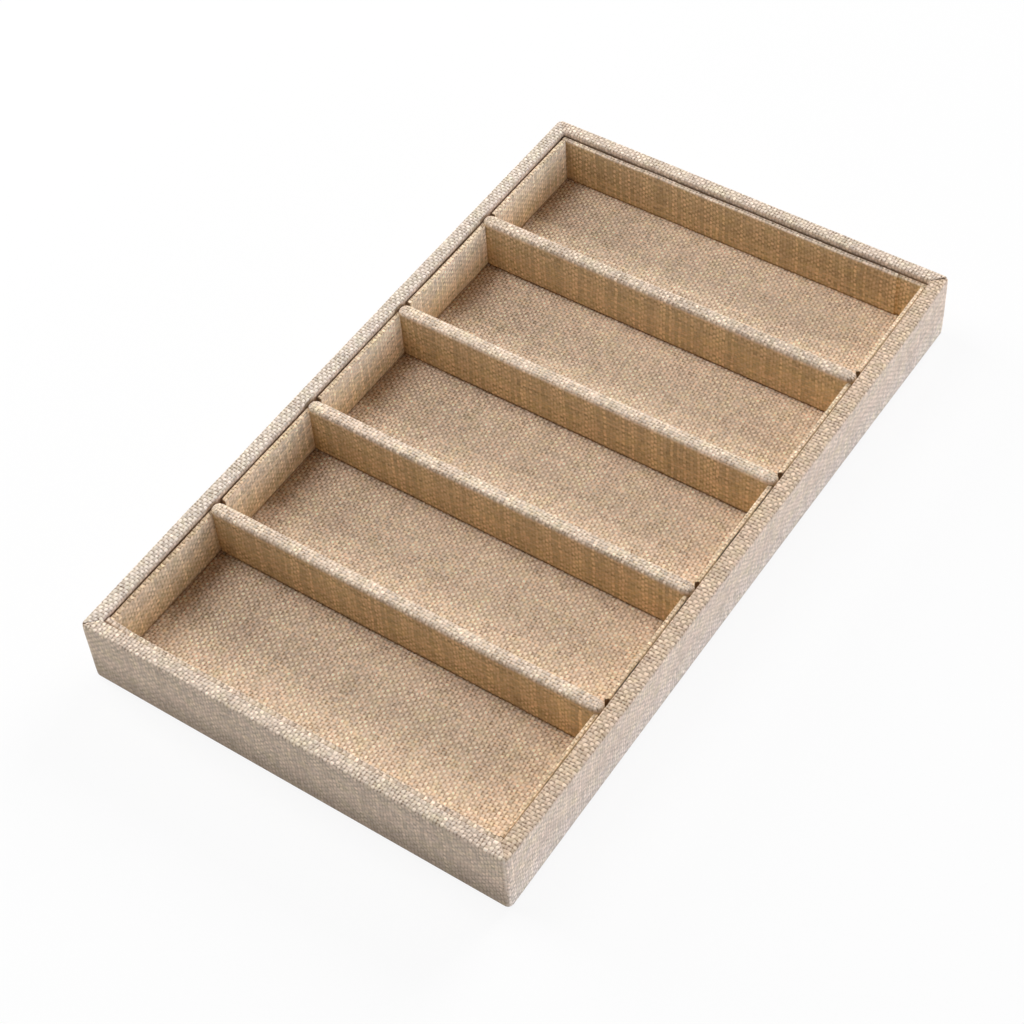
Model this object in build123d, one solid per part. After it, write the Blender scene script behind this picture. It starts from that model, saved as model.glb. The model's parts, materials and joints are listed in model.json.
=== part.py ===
from build123d import *
import os

# Jewelry tray: boards and cards wrapped in linen cloth, with four dividers that
# lift out of slots between the side liners. Lengths are in millimetres.
# X runs across the tray, Y along it with the front at -Y, and Z up. The origin
# is the centre of the underside, on the surface that the tray stands on.

# The whole tray
tray_length = 300.0
tray_width = 176.0
tray_height = 30.0

# Each compartment's share of their summed length, from the front: the front one
# is a little the longest
bay_shares = (0.21, 0.1965, 0.1965, 0.1965, 0.2005)

# Cloth, boards and cards by thickness
cloth = 0.6
rail_board = 4.3
base_thickness = 2.5
floor_card = 2.0
liner_card = 0.8
divider_board = 4.3
underside_felt = 0.5

# Rounded edges of the wrapped frame
rim_radius = 1.4
corner_radius = 2.0
foot_radius = 1.0
inner_corner_radius = 0.9

# Rounded edges of the wrapped panels
liner_radius = 0.9
divider_top_radius = 1.3
divider_end_radius = 2.4

# How far the liners stay below the rim
liner_drop = 2.0

# Cloth that is turned in behind and under the boards
base_hem = 14.0
floor_hem = 12.0
liner_hem = 6.0
foot_seam = 0.8
felt_inset = 4.0

# Clearances between pieces
base_fit = 0.1
floor_fit = 0.2
liner_gap = 0.3
liner_end_fit = 0.15
divider_side_fit = 0.3
divider_end_fit = 1.4

# Room left in each slot at the divider's far side, where it has slid forward
slot_slack = 1.3

# Overrun that carries every cut past the face that it opens
overrun = 3.0

# Heights, from the surface that the tray stands on
hem_top = underside_felt + cloth
base_top = hem_top + base_thickness
floor_top = base_top + cloth + floor_card + cloth
rail_top = tray_height - cloth
liner_top = tray_height - liner_drop

# Half sizes of the frame, outside, inside the boards and inside the cloth
half_width = tray_width / 2
half_length = tray_length / 2
wall = rail_board + 2 * cloth
board_half_width = half_width - cloth - rail_board
board_half_length = half_length - cloth - rail_board
well_half_width = half_width - wall
well_half_length = half_length - wall

# Places of the liners, and of the space that they leave
liner = liner_card + 2 * cloth
liner_face_x = well_half_width - liner_gap - liner
liner_face_y = well_half_length - liner_gap - liner
divider = divider_board + 2 * cloth
compartments = len(bay_shares)
clear_length = 2 * liner_face_y - (compartments - 1) * divider


def block(x0, x1, y0, y1, z0, z1):
    """A solid box between two corners."""
    size = (x1 - x0, y1 - y0, z1 - z0)
    middle = ((x0 + x1) / 2, (y0 + y1) / 2, (z0 + z1) / 2)
    return Pos(*middle) * Box(*size)


def centred(half_x, half_y, z0, z1):
    """A solid box about the Z axis."""
    return block(-half_x, half_x, -half_y, half_y, z0, z1)


def top_edges(solid):
    """The edges that lie flat in the top of a solid."""
    return solid.edges().group_by(Axis.Z)[-1]


def foot_edges(solid):
    """The edges that lie flat in the underside of a solid."""
    return solid.edges().group_by(Axis.Z)[0]


def save(node, shape):
    """Write one sub-part to its own file."""
    shape.label = node
    export_step(shape, f"parts/{node}.step")


def frame_core():
    """The ring of four boards before it is cut into rails, with eased edges."""
    ring = centred(half_width - cloth, half_length - cloth, hem_top, rail_top)
    ring = fillet(ring.edges().filter_by(Axis.Z), corner_radius - cloth)
    well = centred(board_half_width, board_half_length, hem_top, rail_top)
    ring -= well
    return fillet(top_edges(ring), rim_radius - cloth)


def rails():
    """Two side rails of full length, and two end rails fitted between them."""
    core = frame_core()
    reach_x = half_width + overrun
    reach_y = half_length + overrun
    edge = board_half_width
    return {
        "side_rail_left": core & block(-reach_x, -edge, -reach_y, reach_y, 0, tray_height),
        "side_rail_right": core & block(edge, reach_x, -reach_y, reach_y, 0, tray_height),
        "end_rail_front": core & block(-edge, edge, -reach_y, 0, 0, tray_height),
        "end_rail_back": core & block(-edge, edge, 0, reach_y, 0, tray_height),
    }


def cloth_ring():
    """The cloth over all four rails: outside, rim, inside and turned-in hem."""
    ring = centred(half_width, half_length, underside_felt, tray_height)
    ring = fillet(ring.edges().filter_by(Axis.Z), corner_radius)
    ring = fillet(foot_edges(ring), foot_radius)
    well = centred(well_half_width, well_half_length, hem_top, tray_height)
    ring -= fillet(well.edges().filter_by(Axis.Z), inner_corner_radius)
    ring = fillet(top_edges(ring), rim_radius)
    ring -= frame_core()
    ring -= centred(board_half_width, board_half_length, hem_top, base_top + base_fit)
    hem_half_width = half_width - base_hem
    hem_half_length = half_length - base_hem
    return ring - centred(hem_half_width, hem_half_length, 0, tray_height)


def mitred_quarter(ring, side):
    """The part of the cloth ring between the two mitres of one side."""
    if side in ("left", "right"):
        near, far, spine = half_width + overrun, half_length + overrun, half_length - half_width
        points = [(0, spine), (0, -spine), (near, -far), (near, far)]
    else:
        near, far = half_length + overrun, half_width + overrun
        spine = half_length - half_width
        points = [(0, spine), (far, near), (-far, near)]
    wedge = extrude(make_face(Polyline(*points, close=True)), tray_height)
    turned = side in ("left", "front")
    return ring & (Rot(0, 0, 180) * wedge if turned else wedge)


def base_board():
    """The board let in between the rails."""
    half_x = board_half_width - base_fit
    half_y = board_half_length - base_fit
    return centred(half_x, half_y, hem_top, base_top)


def underside_sheet():
    """The felt glued over the turned-in cloth, which the tray stands on."""
    half_x = half_width - felt_inset
    half_y = half_length - felt_inset
    return centred(half_x, half_y, 0, underside_felt)


def floor_panel():
    """The floor card, and its cloth: the top, the edges and the hem below."""
    half_x = well_half_width - floor_fit
    half_y = well_half_length - floor_fit
    card = centred(half_x - cloth, half_y - cloth, base_top + cloth, floor_top - cloth)
    cover = centred(half_x, half_y, base_top, floor_top)
    cover = fillet(cover.edges().filter_by(Axis.Z), inner_corner_radius)
    cover -= card
    cover -= centred(half_x - floor_hem, half_y - floor_hem, base_top, base_top + cloth)
    return card, cover


def wrapped_liner(length):
    """A liner card and its cloth, along X, with its face at Y zero and its back at +Y.

    The cloth goes round every edge and is turned in behind as a hem, so the
    middle of the card's back is bare.
    """
    half = length / 2
    cover = block(-half, half, 0, liner, floor_top, liner_top)
    cover = fillet(top_edges(cover), liner_radius)
    card = block(-half + cloth, half - cloth, cloth, liner - cloth, floor_top + cloth, liner_top - cloth)
    bare = half - liner_hem
    window = block(-bare, bare, liner - cloth, liner, floor_top + liner_hem, liner_top - liner_hem)
    return card, cover - card - window


def end_liners():
    """The two liners across the ends, from one side of the well to the other."""
    card, cover = wrapped_liner(2 * (well_half_width - liner_gap))
    pieces = {}
    for end, turn in (("back", 0), ("front", 180)):
        place = Rot(0, 0, turn) * Pos(0, liner_face_y, 0)
        pieces[f"end_liner_card_{end}"] = place * card
        pieces[f"end_liner_cloth_{end}"] = place * cover
    return pieces


def bay_limits(number):
    """Where one compartment starts and ends along Y, numbered from the front."""
    bays = [share / sum(bay_shares) * clear_length for share in bay_shares]
    start = -liner_face_y + sum(bays[:number - 1]) + (number - 1) * divider
    return start, start + bays[number - 1]


def side_liners():
    """One liner on each side of each compartment, clear of the dividers' slots."""
    pieces = {}
    for number in range(1, compartments + 1):
        start, end = bay_limits(number)
        start += liner_end_fit if number == 1 else divider_side_fit + slot_slack
        end -= liner_end_fit if number == compartments else divider_side_fit
        card, cover = wrapped_liner(end - start)
        for side, turn in (("left", 90), ("right", -90)):
            place = Pos(0, (start + end) / 2, 0) * Rot(0, 0, turn) * Pos(0, liner_face_x, 0)
            pieces[f"side_liner_card_{side}_{number}"] = place * card
            pieces[f"side_liner_cloth_{side}_{number}"] = place * cover
    return pieces


def wrapped_divider():
    """A divider board with round ends, and its cloth, which meets in a seam under the foot."""
    half_x = well_half_width - divider_end_fit
    half_y = divider / 2
    cover = centred(half_x, half_y, floor_top, tray_height)
    cover = fillet(cover.edges().filter_by(Axis.Z), divider_end_radius)
    cover = fillet(top_edges(cover), divider_top_radius)
    board = centred(half_x - cloth, half_y - cloth, floor_top + cloth, tray_height - cloth)
    board = fillet(board.edges().filter_by(Axis.Z), divider_end_radius - cloth)
    seam = centred(half_x - divider_end_radius, foot_seam / 2, floor_top, floor_top + cloth)
    return board, cover - board - seam


def dividers():
    """The dividers, each standing on the floor between two compartments."""
    board, cover = wrapped_divider()
    pieces = {}
    for number in range(1, compartments):
        place = Pos(0, bay_limits(number)[1] + divider / 2, 0)
        pieces[f"divider_board_{number}"] = place * board
        pieces[f"divider_cloth_{number}"] = place * cover
    return pieces


def all_pieces():
    """Every sub-part of the tray by its node's name."""
    pieces = rails()
    ring = cloth_ring()
    for side in ("left", "right", "front", "back"):
        pieces[f"rim_cloth_{side}"] = mitred_quarter(ring, side)
    pieces["base_board"] = base_board()
    pieces["underside_sheet"] = underside_sheet()
    pieces["floor_card"], pieces["floor_cloth"] = floor_panel()
    pieces.update(end_liners())
    pieces.update(side_liners())
    pieces.update(dividers())
    return pieces


os.makedirs("parts", exist_ok=True)
for node, shape in all_pieces().items():
    save(node, shape)

print("clear inside width", round(2 * liner_face_x, 3), "clear inside length", round(2 * liner_face_y, 3))
print("compartments", [[round(v, 3) for v in bay_limits(n + 1)] for n in range(compartments)])
print("floor height", round(floor_top, 3), "liner height", round(liner_top - floor_top, 3))
print("dividers at", [round(bay_limits(n)[1] + divider / 2, 3) for n in range(1, compartments)])
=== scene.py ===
# %% [markdown]
# # A jewelry tray wrapped in linen
#
# The tray is a shallow frame of boards. Coarse linen is glued over every board
# and card, so almost all that shows is cloth. The boards, the cards and the
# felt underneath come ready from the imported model, and this script dresses
# them: each length of linen is a thin mesh that follows its board, with the
# real size of the weave in its UV map.

# %% The frame
import json
import math

import bmesh
import bpy
from mathutils import Matrix, Vector, noise

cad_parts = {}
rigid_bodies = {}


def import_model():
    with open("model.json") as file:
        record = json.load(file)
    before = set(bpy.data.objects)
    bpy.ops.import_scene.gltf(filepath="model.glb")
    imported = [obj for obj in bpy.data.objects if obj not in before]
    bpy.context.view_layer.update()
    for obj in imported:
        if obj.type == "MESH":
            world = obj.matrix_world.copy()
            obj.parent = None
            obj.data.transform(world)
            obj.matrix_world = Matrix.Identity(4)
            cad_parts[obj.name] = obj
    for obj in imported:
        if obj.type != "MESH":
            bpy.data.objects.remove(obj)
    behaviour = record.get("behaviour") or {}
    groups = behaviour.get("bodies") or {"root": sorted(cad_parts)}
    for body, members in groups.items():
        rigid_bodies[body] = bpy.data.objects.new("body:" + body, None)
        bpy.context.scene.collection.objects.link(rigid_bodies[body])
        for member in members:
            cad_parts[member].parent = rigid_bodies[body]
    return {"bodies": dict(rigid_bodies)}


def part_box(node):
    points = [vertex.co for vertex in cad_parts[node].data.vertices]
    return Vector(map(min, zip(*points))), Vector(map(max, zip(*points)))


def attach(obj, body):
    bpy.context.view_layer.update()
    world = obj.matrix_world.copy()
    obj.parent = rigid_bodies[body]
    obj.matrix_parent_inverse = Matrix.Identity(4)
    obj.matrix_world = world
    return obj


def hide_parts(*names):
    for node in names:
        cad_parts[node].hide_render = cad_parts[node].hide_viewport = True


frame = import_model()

noise.seed_set(5)
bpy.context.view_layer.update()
MM = 0.001


def add_object(name, data):
    thing = bpy.data.objects.new(name, data)
    bpy.context.scene.collection.objects.link(thing)
    return thing


def mesh_object(name, mesh):
    """A bmesh made into an object."""
    data = bpy.data.meshes.new(name)
    mesh.to_mesh(data)
    mesh.free()
    return add_object(name, data)


# %% [markdown]
# ## The camera
#
# The photograph looks down into the tray from the front right with a long
# lens. The camera could be aimed with a Track To constraint, but the tray is
# also tipped a little in the picture, so the three axes of the camera are
# worked out here: the way back from the tray, then right and up, turned by the
# roll. The last step slides the camera along its own axes, which puts the tray
# where it lies in the picture.

# %% Camera
AZIMUTH, ELEVATION, ROLL = (math.radians(v) for v in (37.642, 50.616, -4.742))
DISTANCE = 852.574 * MM
SLIDE_RIGHT, SLIDE_UP = -10.289 * MM, -6.22 * MM

back = Vector((math.sin(AZIMUTH) * math.cos(ELEVATION),
               -math.cos(AZIMUTH) * math.cos(ELEVATION),
               math.sin(ELEVATION)))
level_right = Vector((0, 0, 1)).cross(back).normalized()
level_up = back.cross(level_right)
right = math.cos(ROLL) * level_right + math.sin(ROLL) * level_up
up = math.cos(ROLL) * level_up - math.sin(ROLL) * level_right

camera_data = bpy.data.cameras.new("camera")
camera_data.sensor_width = 36.0
camera_data.lens = 81.146
camera = add_object("camera", camera_data)
camera.matrix_world = Matrix.Translation(
    back * DISTANCE + right * SLIDE_RIGHT + up * SLIDE_UP
) @ Matrix((right, up, back)).transposed().to_4x4()
bpy.context.scene.camera = camera

# %% [markdown]
# ## Where the cloth goes
#
# The cloth lies on the boards, so its places are read from their boxes and
# never typed again: the outside of the tray, the inside of the well, and the
# thickness of the cloth, which is the step from a rail to its cover.

# %% Places read from the frame
rim_low, rim_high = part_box("rim_cloth_right")
rail_low, rail_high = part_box("side_rail_right")
half_x, half_y = rim_high.x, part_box("rim_cloth_back")[1].y
foot_z, top_z = rim_low.z, rim_high.z
cloth = rim_high.x - rail_high.x
wall = half_x - (rail_low.x - cloth)
hem = half_x - rim_low.x
base_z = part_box("base_board")[1].z
floor_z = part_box("floor_cloth")[1].z
bays = len(frame["bodies"])
print("half", round(half_x / MM, 2), round(half_y / MM, 2), "wall", round(wall / MM, 2),
      "cloth", round(cloth / MM, 2), "hem", round(hem / MM, 1), "mm")

# %% [markdown]
# ## Helpers for wrapped cloth
#
# Every length of linen is made the same way. A few faces are built with
# bmesh, their edges are rounded with the bevel operator, and planes slice the
# long faces so that there are points to move. Then the UV map is written as
# the cloth would lie if it were peeled off flat, in metres, so that one
# material weaves every piece at the same scale. The last touches are small
# moves of the points, because cloth over board is never quite straight.

# %% Mesh helpers
SNAP = 1e-7
CLOSE = 1e-6


def everything(mesh):
    return mesh.verts[:] + mesh.edges[:] + mesh.faces[:]


def slice_mesh(mesh, axis, places):
    """Cut the faces by planes square to one axis, without opening them."""
    normal = Vector([1.0 if k == axis else 0.0 for k in range(3)])
    for place in places:
        bmesh.ops.bisect_plane(mesh, geom=everything(mesh), dist=SNAP,
                               plane_co=normal * place, plane_no=normal)


def steps(start, end, step):
    """Evenly spaced places between two ends, at most one step apart."""
    count = max(2, math.ceil((end - start) / step))
    return [start + (end - start) * k / count for k in range(1, count)]


def round_edges(mesh, edges, radius, segments):
    return bmesh.ops.bevel(mesh, geom=edges, offset=radius, offset_type="OFFSET", affect="EDGES",
                           segments=segments, profile=0.5, material=-1, clamp_overlap=True)


def edges_where(mesh, test):
    return [edge for edge in mesh.edges if test(edge.verts[0].co, edge.verts[1].co)]


def same(a, b):
    return abs(a - b) < CLOSE


def edges_at(mesh, height):
    return edges_where(mesh, lambda a, b: same(a.z, height) and same(b.z, height))


# %% Developed lengths for the UV map
def over_the_top(depth, height, width, top, outer, inner):
    """How far the cloth has run up the outer face, over the top and down the inner face."""
    up = top - outer
    across = up + outer * math.pi / 2
    down = across + width - outer - inner
    if depth < outer and height > up:
        return up + outer * math.atan2(height - up, outer - depth)
    if depth > width - inner and height > top - inner:
        return down + inner * math.atan2(depth - (width - inner), height - (top - inner))
    if same(height, top):
        return across + depth - outer
    if depth < width / 2:
        return height
    return down + inner * math.pi / 2 + top - inner - height


def under_the_foot(depth, height, low, radius):
    """The same run below the bend at the foot, as if it were a height."""
    bend = low + radius
    if height >= bend:
        return height
    if depth < radius:
        return bend - radius * math.atan2(bend - height, radius - depth)
    return bend - radius * math.pi / 2 - (depth - radius)


def round_the_end(along, depth, half, width, radius):
    """How far the cloth has run along the piece, and then round its end."""
    straight = half - radius
    if abs(along) <= straight:
        return along
    past = abs(along) - straight
    if depth < radius:
        run = radius * math.atan2(past, radius - depth)
    elif depth > width - radius:
        run = radius * math.atan2(past, depth - (width - radius))
    else:
        run = radius * math.pi / 2 + depth - radius
    return math.copysign(straight + run, along)


def write_uv(mesh, place):
    """Store the developed place of every corner, in metres, as the map named cloth."""
    layer = mesh.loops.layers.uv.new("cloth")
    for face in mesh.faces:
        for loop in face.loops:
            loop[layer].uv = place(loop.vert.co)


# %% How cloth strays
BOW = 0.4 * MM


def bow(point):
    """The bow of both long sides to the left at mid-length, the right one's only at its foot."""
    straightened = max(0.0, point.z / top_z) if point.x > 0 else 0.0
    return -BOW * (1 - (point.y / half_y) ** 2) * (1 - straightened)


def waver(point, length, size, seed):
    """A smooth random push, no more than about one size each way."""
    return noise.noise_vector(point / length + Vector((seed, 0, 0))) * size


def eased(share):
    """A share from nought to one that starts and stops softly."""
    share = min(1.0, max(0.0, share))
    return share * share * (3 - 2 * share)


# %% Finishing a piece
LINEN_THICKNESS = cloth - 0.05 * MM
SHARP_ANGLE = math.radians(50)


def finish_piece(mesh, name, body):
    """Turn a mesh into a smooth object with the linen's thickness, riding on a body."""
    piece = mesh_object(name, mesh)
    for polygon in piece.data.polygons:
        polygon.use_smooth = True
    piece.data.set_sharp_from_angle(angle=SHARP_ANGLE)
    shell = piece.modifiers.new("thickness", "SOLIDIFY")
    shell.thickness = LINEN_THICKNESS
    shell.offset = -1.0
    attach(piece, body)
    return piece


# %% [markdown]
# ## The linen over the frame
#
# On the real tray four lengths of linen go over the four rails. Each one
# starts under the base as a hem, goes up the outside, over the rim and down
# into the well, and meets its neighbours in a mitre at the corners. A swept
# profile would need its corners mended by hand, so here the whole ring is made
# at once: a flat hem, then three extrusions, up, in and down. The corners
# mitre themselves, the bevels run right round, and each length is the part of
# the ring between two mitres. The cloth is pulled tightest over the outer edge
# of the rim, which is the crisper of the two.

# %% The ring of linen
RIM_OUTER_RADIUS = 0.9 * MM
RIM_INNER_RADIUS = 1.3 * MM
CORNER_RADIUS = 2.2 * MM
FOOT_RADIUS = 1.1 * MM
WELL_CORNER_RADIUS = 0.9 * MM
BASE_CLEARANCE = 0.2 * MM


def linen_ring():
    """The hem, the outside, the top and the inside of the frame's cloth, still with sharp edges."""
    mesh = bmesh.new()
    bmesh.ops.create_grid(mesh, x_segments=1, y_segments=1, size=1.0,
                          matrix=Matrix.Diagonal((half_x, half_y, 1.0, 1.0)))
    bmesh.ops.translate(mesh, verts=mesh.verts, vec=(0, 0, foot_z))
    middle = mesh.faces[:]
    bmesh.ops.inset_region(mesh, faces=middle, thickness=hem, use_even_offset=True,
                           use_boundary=True)
    bmesh.ops.delete(mesh, geom=middle, context="FACES")
    outline = [edge for edge in mesh.edges
               if edge.is_boundary and same(abs(edge.verts[0].co.x), half_x)]
    well_share = ((half_x - wall) / half_x, (half_y - wall) / half_y, 1)
    for move in ("up", "in", "down"):
        grown = bmesh.ops.extrude_edge_only(mesh, edges=outline)["geom"]
        points = [g for g in grown if isinstance(g, bmesh.types.BMVert)]
        outline = [g for g in grown if isinstance(g, bmesh.types.BMEdge)]
        outline = [e for e in outline if e.verts[0] in points and e.verts[1] in points]
        if move == "up":
            bmesh.ops.translate(mesh, verts=points, vec=(0, 0, top_z - foot_z))
        if move == "in":
            bmesh.ops.scale(mesh, verts=points, vec=well_share)
        if move == "down":
            bmesh.ops.translate(mesh, verts=points, vec=(0, 0, base_z + BASE_CLEARANCE - top_z))
    bmesh.ops.recalc_face_normals(mesh, faces=mesh.faces)
    return mesh


def upright(a, b):
    return same(a.x, b.x) and same(a.y, b.y)


def turned_edge(edge):
    """An edge between a wall and a level face."""
    if len(edge.link_faces) != 2:
        return False
    levels = sorted(abs(face.normal.z) for face in edge.link_faces)
    return levels[0] < 0.5 < levels[1]


def on_the_outside(edge):
    middle = (edge.verts[0].co + edge.verts[1].co) / 2
    return abs(middle.x) > half_x - wall / 2 or abs(middle.y) > half_y - wall / 2


def round_ring(mesh):
    """Round the upright edges first, and then the ones that run right round the frame."""
    outer = edges_where(mesh, lambda a, b: upright(a, b) and same(abs(a.x), half_x))
    round_edges(mesh, outer, CORNER_RADIUS, segments=6)
    inner = edges_where(mesh, lambda a, b: upright(a, b) and same(abs(a.x), half_x - wall))
    round_edges(mesh, inner, WELL_CORNER_RADIUS, segments=3)
    for height, outside, radius, segments in ((top_z, True, RIM_OUTER_RADIUS, 4),
                                              (top_z, False, RIM_INNER_RADIUS, 5),
                                              (foot_z, True, FOOT_RADIUS, 4)):
        mesh.normal_update()
        turned = [edge for edge in edges_at(mesh, height)
                  if turned_edge(edge) and on_the_outside(edge) == outside]
        round_edges(mesh, turned, radius, segments)


# %% [markdown]
# The ring is sliced every few millimetres so that it can move, and more finely
# beside each mitre. A mitre is cut with a plane through the corner at 45
# degrees, given only the faces near that corner, because the same plane would
# cut the far side of the tray as well.

# %% Slices and mitres
SLICE = 6.0 * MM
SLICE_UP = 4.0 * MM
WELL_MARGIN = 1.0 * MM
NEAR_A_CORNER = 1.6 * (wall + hem)
MITRE_SHOULDERS = (-1.6 * MM, -0.7 * MM, 0.0, 0.7 * MM, 1.6 * MM)


def cut_mitres(mesh):
    """Cut the seam at each corner, and two slices on either side of it."""
    for side_x in (-1, 1):
        for side_y in (-1, 1):
            corner = Vector((side_x * half_x, side_y * half_y, 0))
            across = Vector((side_x, -side_y, 0)).normalized()
            for shoulder in MITRE_SHOULDERS:
                near = [face for face in mesh.faces
                        if all((v.co.xy - corner.xy).length < NEAR_A_CORNER for v in face.verts)]
                parts = dict.fromkeys(near)
                for face in near:
                    parts.update(dict.fromkeys(face.edges[:] + face.verts[:]))
                bmesh.ops.bisect_plane(mesh, geom=list(parts), dist=SNAP,
                                       plane_co=corner + across * shoulder, plane_no=across)


def slice_ring(mesh):
    inside_x = half_x - wall - WELL_MARGIN
    inside_y = half_y - wall - WELL_MARGIN
    slice_mesh(mesh, 0, [-inside_x] + steps(-inside_x, inside_x, SLICE) + [inside_x])
    slice_mesh(mesh, 1, [-inside_y] + steps(-inside_y, inside_y, SLICE) + [inside_y])
    slice_mesh(mesh, 2, steps(foot_z + FOOT_RADIUS, top_z - RIM_INNER_RADIUS, SLICE_UP))
    cut_mitres(mesh)


ring = linen_ring()
round_ring(ring)
slice_ring(ring)
print("ring", len(ring.verts), "points,", len(ring.faces), "faces")

# %% [markdown]
# Each length now gets its own UV map: V runs across it, from the hem up the
# outside, over the rim and down the inside, and U runs along it. The cloth is
# laid with a small shift of its own, so that the threads of two lengths don't
# line up at a mitre.

# %% Places on the four lengths
SIDES = {"left": (0, -1), "right": (0, 1), "front": (1, -1), "back": (1, 1)}


def rim_run(depth, height):
    if height < foot_z + FOOT_RADIUS:
        return under_the_foot(depth, height, foot_z, FOOT_RADIUS)
    return over_the_top(depth, height, wall, top_z, RIM_OUTER_RADIUS, RIM_INNER_RADIUS)


def belongs(face, axis, sign):
    """Is this face of the ring between the two mitres of one side?"""
    centre = face.calc_center_median()
    outward_x = abs(centre.x) - half_x
    outward_y = abs(centre.y) - half_y
    mine = outward_x > outward_y if axis == 0 else outward_y >= outward_x
    return mine and centre[axis] * sign > 0


# %% [markdown]
# Four things make the frame look wrapped by hand. The faces waver by a tenth
# of a millimetre, as a long swell with a ripple on it. The right side's cloth
# stands off its rail, most at the top. Each mitre is a shallow seam, and at two
# corners of this tray it has come open: wide at the far right one, and only a
# notch at the near left one. And the cloth folded inside each corner makes a
# narrow ridge up it. A Displace modifier could do the first, but not the
# others, so all of them are moves of the points. A gap is given as its width,
# the share of the wall at which it starts, and its share at the inner edge.

# %% How the cloth over the frame moves
RIM_SWELL = (38 * MM, 0.16 * MM, 3.1)
RIM_RIPPLE = (11 * MM, 0.06 * MM, 8.4)
FREE_AFTER = 4 * MM
INSIDE_WAVER = 0.25
BULGE_OUTSIDE = 1.2 * MM
BULGE_INSIDE = 0.3 * MM
BULGE_FROM = 8 * MM
BULGE_MARGIN = 6 * MM
SEAM_DEPTH = 0.12 * MM
SEAM_WIDTH = 0.5 * MM
ON_THE_SEAM = 0.2 * MM
MITRE_GAPS = {(1, 1): (0.78 * MM, 0.35, 0.5), (-1, -1): (0.6 * MM, 0.6, 0.0)}
INNER_REACH = 0.3
GAP_DEPTH = 4.0 * MM
RIDGE = 0.25 * MM
RIDGE_WIDTH = 0.9 * MM
RIDGE_BELOW = 3 * MM


def bulge(point):
    """How far the right side's cloth stands off its rail, most at the top, and not at corners."""
    if point.x < 0:
        return 0.0
    outward = min(1.0, max(0.0, 1 - (half_x - point.x) / wall))
    along = max(0.0, 1 - (abs(point.y) / (half_y - BULGE_MARGIN)) ** 6)
    risen = eased((point.z - BULGE_FROM) / (top_z - BULGE_FROM))
    return along * risen * (BULGE_INSIDE + (BULGE_OUTSIDE - BULGE_INSIDE) * outward)


def seam_gap(corner, outer_share, height):
    """How far a mitre has opened at a share of the wall's width and at a height."""
    widest, start, inner = MITRE_GAPS[corner]
    share = max(0.0, (outer_share - start) / (1 - start),
                inner * (1 - outer_share / INNER_REACH))
    return widest * share * eased((height - top_z + GAP_DEPTH) / GAP_DEPTH)


def shape_rim(mesh, axis):
    """Bow, waver, ridges and mitre seams for one length of the rim's linen."""
    moves = []
    for vert in mesh.verts:
        point = vert.co
        free = eased((point.z - foot_z) / FREE_AFTER)
        past_x, past_y = abs(point.x) - half_x, abs(point.y) - half_y
        outside = 1.0 if max(past_x, past_y) > -wall / 2 else INSIDE_WAVER
        push = (waver(point, *RIM_SWELL) + waver(point, *RIM_RIPPLE)) * free * outside
        push.x += bow(point) + bulge(point)
        from_mitre = abs(past_x - past_y) / math.sqrt(2)
        if max(past_x, past_y) > -wall:
            push -= vert.normal * SEAM_DEPTH * math.exp(-(from_mitre / SEAM_WIDTH) ** 2) * free
        if min(past_x, past_y) > -CORNER_RADIUS:
            below_rim = eased((top_z - point.z) / RIDGE_BELOW)
            ridge = RIDGE * math.exp(-(from_mitre / RIDGE_WIDTH) ** 2)
            push += vert.normal * ridge * free * below_rim
        corner = (1 if point.x > 0 else -1, 1 if point.y > 0 else -1)
        on_seam = from_mitre < ON_THE_SEAM and past_x > -wall - ON_THE_SEAM / 2
        if corner in MITRE_GAPS and on_seam:
            outer_share = 1 + (past_x + past_y) / 2 / wall
            push[1 - axis] -= corner[1 - axis] * seam_gap(corner, outer_share, point.z)
        moves.append(push)
    for vert, push in zip(mesh.verts, moves):
        vert.co += push


# %% Making the four lengths
THREAD_SHIFTS = {"left": (0.0, 0.0), "right": (0.013, 0.002),
                 "front": (0.021, 0.0055), "back": (0.037, 0.0031)}
for side, (axis, sign) in SIDES.items():
    length_of = ring.copy()
    others = [face for face in length_of.faces if not belongs(face, axis, sign)]
    bmesh.ops.delete(length_of, geom=others, context="FACES")
    length_of.normal_update()
    half_across = half_x if axis == 0 else half_y
    shift_u, shift_v = THREAD_SHIFTS[side]

    def rim_place(point, axis=axis, half_across=half_across, shift_u=shift_u, shift_v=shift_v):
        run = rim_run(half_across - abs(point[axis]), point.z)
        return point[1 - axis] + shift_u, run + shift_v

    write_uv(length_of, rim_place)
    shape_rim(length_of, axis)
    piece = finish_piece(length_of, f"rim_linen_{side}", "tray")
    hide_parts(f"rim_cloth_{side}")
    print(piece.name, len(piece.data.polygons), "faces")
ring.free()

# %% [markdown]
# ## Cloth-wrapped cards
#
# The liners, the dividers and the floor are all the same thing: a card or a
# board with linen pulled round every edge and glued down as a hem behind. One
# function wraps them all. It starts from a cube, rounds the edges with two
# bevels, slices the long faces and opens the window that the hem leaves bare.
# It works in the panel's own place, with the face at depth zero, and a matrix
# carries the finished cloth to the tray, so the same code serves all four
# walls.

# %% A wrapped panel
PANEL_SLICE = 5.0 * MM


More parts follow.
